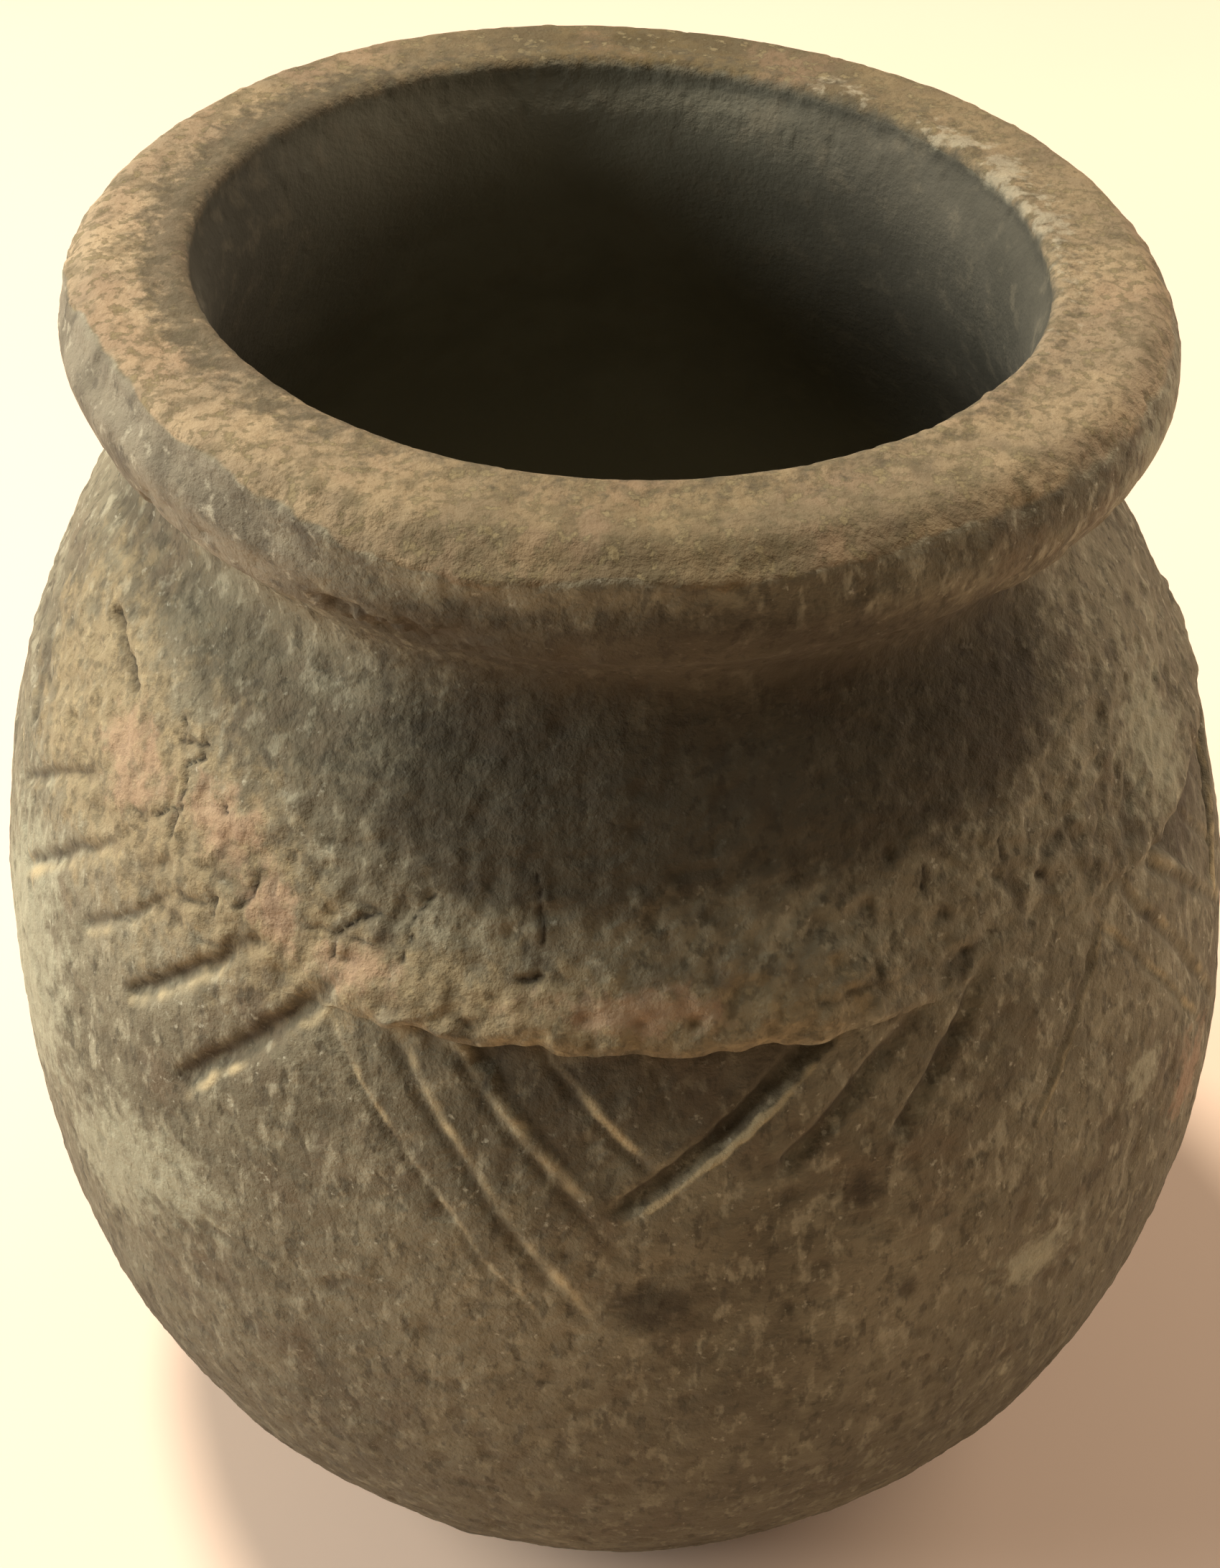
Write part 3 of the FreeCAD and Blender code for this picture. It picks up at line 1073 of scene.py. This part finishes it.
def body_colour(clay):
    """Smoke-blackened clay: umber and olive grey, with buff dabs and dark specks, and painted shade
    towards the bottom.
    """
    upright = clay.stretched(1.0, 1.0, 0.45)
    colour = clay.mix(clay.between(clay.grain(26), 0.36, 0.64), OLIVE_GREY, UMBER)
    colour = clay.dabs(colour, REDDISH, 13.0, 0.5, 0.7, 0.4)
    colour = clay.dabs(colour, BUFF, 6.0, 0.46, 0.66, 0.4)
    colour = clay.dabs(colour, SMOKE, 3.6, 0.5, 0.66, 0.45)
    colour = clay.dabs(colour, PALE_FLECK, 2.0, 0.52, 0.68, 0.6, upright)
    colour = clay.dabs(colour, DARK_FLECK, 1.5, 0.53, 0.66, 0.6, upright)
    colour = clay.dabs(colour, LIGHT_GRAIN, 1.2, 0.62, 0.74, 0.6)
    # Painted shade: the body darkens towards the bottom
    low = clay.maths("MULTIPLY", clay.between(clay.height(), 0.095, 0.04), 0.5)
    return clay.mix(low, colour, LOW_BODY_SHADE)


def rim_colour(clay):
    """Worn tan top of the rim, mottled with dark and pale grains; its paleness by azimuth is wear
    together with painted light.
    """
    wear_and_light = clay.number("rim_wear_and_light")
    broad = clay.between(clay.grain(9), 0.38, 0.62)
    pale = clay.mix(broad, *WORN_PALE_LIT)
    deep = clay.mix(broad, *WORN_DEEP_SHADED)
    colour = clay.mix(wear_and_light, deep, pale)
    colour = clay.dabs(colour, WORN_REDDISH, 14.0, 0.5, 0.68, 0.4)
    colour = clay.dabs(colour, RIM_SMOKE, 3.4, 0.48, 0.64, 0.6)
    colour = clay.dabs(colour, RIM_DARK_GRAIN, 1.5, 0.5, 0.62, 0.7)
    return clay.dabs(colour, RIM_PALE_GRAIN, 1.5, 0.54, 0.66, 0.55)


def side_colour(clay):
    """Grey ash on the left of the rim's side."""
    colour = clay.mix(clay.between(clay.grain(8), 0.4, 0.6), *SIDE_ASH)
    colour = clay.dabs(colour, SIDE_DARK, 2.6, 0.53, 0.68, 0.6)
    return clay.dabs(colour, SIDE_PALE, 1.8, 0.56, 0.7, 0.6)


def inside_colour(clay):
    """The inside: soot, painted light on its far side, and paler deeper in."""
    far_lit = clay.mix(clay.between(clay.grain(22), 0.36, 0.64), *INSIDE_FAR_LIT)
    soot_and_shade = clay.mix(clay.between(clay.grain(22), 0.36, 0.64), *INSIDE_SOOT)
    # Painted light: the far side of the inside is paler
    colour = clay.mix(clay.number("inside_far_light"), soot_and_shade, far_lit)
    colour = clay.dabs(colour, INSIDE_DABS, 4.0, 0.5, 0.7, 0.35)
    return clay.mix(clay.between(clay.number("into_mouth"), 35.0, 90.0), colour, INSIDE_DEEP)


def broken(clay, mask, size, share=1.0, contrast=2.4):
    """A smooth mask broken up by grain."""
    grain = clay.maths("SUBTRACT", clay.grain(size, 4.0, 0.65), 0.5)
    raised = clay.maths("ADD", mask, clay.maths("MULTIPLY", grain, contrast))
    spread = clay.maths("MULTIPLY", clay.between(raised, 0.25, 0.95), share)
    return clay.maths("MULTIPLY", spread, clay.between(mask, 0.02, 0.3))


def with_patches(clay, colour):
    """Lays the tan, pink, pale and sooty patches over a colour; the pale ones carry some painted
    light, and the broad sooty ones the painted shadow of the rim.
    """
    pink, pale, soot_and_shade, tan = clay.masks("patches")
    crumbs = clay.dabs(TAN_CLAY, TAN_SHADE, 1.6, 0.48, 0.62, 0.65)
    crumbs = clay.dabs(crumbs, TAN_GRAIN, 1.4, 0.54, 0.66, 0.6)
    colour = clay.mix(broken(clay, tan, 3.5, 0.65), colour, crumbs)
    colour = clay.mix(broken(clay, pink, 3.0, 0.45), colour, PINK_CLAY)
    # Pale crust, with painted light on the right of the rim's side and shoulder
    colour = clay.mix(broken(clay, pale, 2.6, 0.6), colour, PALE_CRUST_AND_LIT)
    # Soot, with the painted shadow of the rim on the front neck, rim side and shoulder
    return clay.mix(broken(clay, soot_and_shade, 2.6, 0.75, 1.1), colour, SOOT_AND_RIM_SHADOW_TONE)


def with_rim(clay, colour):
    """Lays the rim's ash, worn top, sooty inner edge and pale deposit over a colour."""
    top, side, sooty, deposit = clay.masks("rim_parts")
    colour = clay.mix(broken(clay, side, 4.0, 0.9, 1.6), colour, side_colour(clay))
    colour = clay.mix(clay.between(top, 0.3, 0.7), colour, rim_colour(clay))
    colour = clay.mix(broken(clay, sooty, 1.8, 0.75), colour, LIP_SOOT)
    deposit = clay.maths("MULTIPLY", deposit, clay.between(clay.grain(5, 3.0, 0.6), 0.44, 0.62))
    return clay.mix(broken(clay, deposit, 1.6, 0.6), colour, LIP_DEPOSIT)


def with_marks(clay, colour):
    """Lays painted shade in strokes, the recess below the ledge, cracks, chips and pits, and a
    painted highlight along the strokes' lower edges, over a colour.
    """
    dark, edge, crack, chip = clay.masks("marks")
    colour = clay.mix(clay.maths("MULTIPLY", dark, 0.75), colour, STROKE_SHADE)
    colour = clay.mix(clay.between(edge, 0.1, 0.75), colour, STROKE_HIGHLIGHT)
    colour = clay.mix(clay.maths("MULTIPLY", crack, 0.8), colour, CRACK_SHADE)
    return clay.mix(clay.maths("MULTIPLY", chip, 0.45), colour, CHIP_SHADE)


def clay_material():
    """One material for the whole jar; masks on the meshes say where its parts differ."""
    clay = Shader("black_clay")
    colour = with_marks(clay, with_rim(clay, with_patches(clay, body_colour(clay))))
    depth = clay.maths("ADD", clay.number("into_mouth"), clay.maths("MULTIPLY", clay.grain(3), 3.0))
    inside = clay.between(depth, 3.0, 4.8)
    clay.link(clay.mix(inside, colour, inside_colour(clay)), clay.surface.inputs["Base Color"])

    roughness = clay.add("ShaderNodeMapRange")
    clay.link(clay.grain(3.0), roughness.inputs["Value"])
    roughness.inputs["To Min"].default_value = 0.8
    roughness.inputs["To Max"].default_value = 1.0
    clay.link(roughness.outputs["Result"], clay.surface.inputs["Roughness"])
    clay.surface.inputs["Specular IOR Level"].default_value = 0.25

    calmer_inside = clay.maths("SUBTRACT", 0.6, clay.maths("MULTIPLY", inside, 0.4))
    coarse = clay.bump(clay.grain(2.0, 5.0, 0.65), 0.9, calmer_inside)
    fine = clay.bump(clay.grain(0.7, 3.0, 0.6), 0.25, 0.5, coarse)
    clay.link(fine, clay.surface.inputs["Normal"])
    return clay.material


def floor_material():
    paper = Shader("pale_floor")
    colour = paper.mix(paper.grain(180, 2.0), *FLOOR_TONES)
    paper.link(colour, paper.surface.inputs["Base Color"])
    paper.surface.inputs["Roughness"].default_value = 0.7
    return paper.material


# ---------------------------------------------------------------------------
# Floor, light and camera
# ---------------------------------------------------------------------------

CAMERA_PLACE = (-0.0011, -0.24555, 0.29827)
CAMERA_DOWN = 39.8  # degrees below the horizontal
CAMERA_LENS = 57.7
FLOOR_SIZE = 8.0

# Area lights: name, place, diameter, power and colour
LIGHTS = (
    ("key", (-0.3, 0.21, 1.14), 0.22, 14.5, (1.0, 0.92, 0.8)),
    ("left", (-0.95, 0.0, 0.5), 0.8, 15.5, (0.93, 0.96, 0.95)),
    ("right", (0.85, 0.4, 0.5), 1.2, 10.0, (1.0, 0.86, 0.73)),
)
WORLD_COLOUR = (1.0, 0.9, 0.72, 1.0)
WORLD_STRENGTH = 0.12


def make_floor():
    half = FLOOR_SIZE / 2
    mesh = bpy.data.meshes.new("floor")
    corners = [(-half, -half, 0), (half, -half, 0), (half, half, 0), (-half, half, 0)]
    mesh.from_pydata(corners, [], [(0, 1, 2, 3)])
    floor = bpy.data.objects.new("floor", mesh)
    bpy.context.scene.collection.objects.link(floor)
    mesh.materials.append(floor_material())


def aim(thing, target):
    """Turns a light towards a point."""
    direction = Vector(target) - thing.location
    thing.rotation_euler = direction.to_track_quat("-Z", "Y").to_euler()


def area_light(name, place_at, size, power, colour):
    light = bpy.data.lights.new(name, "AREA")
    light.shape = "DISK"
    light.size = size
    light.energy = power
    light.color = colour
    lamp = bpy.data.objects.new(name, light)
    lamp.location = place_at
    bpy.context.scene.collection.objects.link(lamp)
    aim(lamp, (0, 0, HEIGHT * MM / 2))


def make_lights():
    for name, place_at, size, power, colour in LIGHTS:
        area_light(name, place_at, size, power, colour)
    world = bpy.data.worlds.new("studio")
    world.use_nodes = True
    background = world.node_tree.nodes["Background"]
    background.inputs["Color"].default_value = WORLD_COLOUR
    background.inputs["Strength"].default_value = WORLD_STRENGTH
    bpy.context.scene.world = world


def make_camera():
    camera = bpy.data.objects.new("camera", bpy.data.cameras.new("camera"))
    camera.data.lens = CAMERA_LENS
    camera.data.sensor_width = 36.0
    camera.data.clip_start = 0.01
    camera.location = CAMERA_PLACE
    camera.rotation_euler = (math.radians(90 - CAMERA_DOWN), 0, 0)
    bpy.context.scene.collection.objects.link(camera)
    bpy.context.scene.camera = camera


# ---------------------------------------------------------------------------
# The scene
# ---------------------------------------------------------------------------


def make_jar():
    """One piece for each rope of clay, in place of the frame's solid of that name."""
    clay = clay_material()
    for index, node in enumerate(ROPES):
        piece = rope(index)
        piece.data.materials.append(clay)
        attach(piece, "root")
        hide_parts(node)


make_camera()
make_lights()
make_floor()
make_jar()
bpy.context.scene.view_settings.view_transform = "Standard"
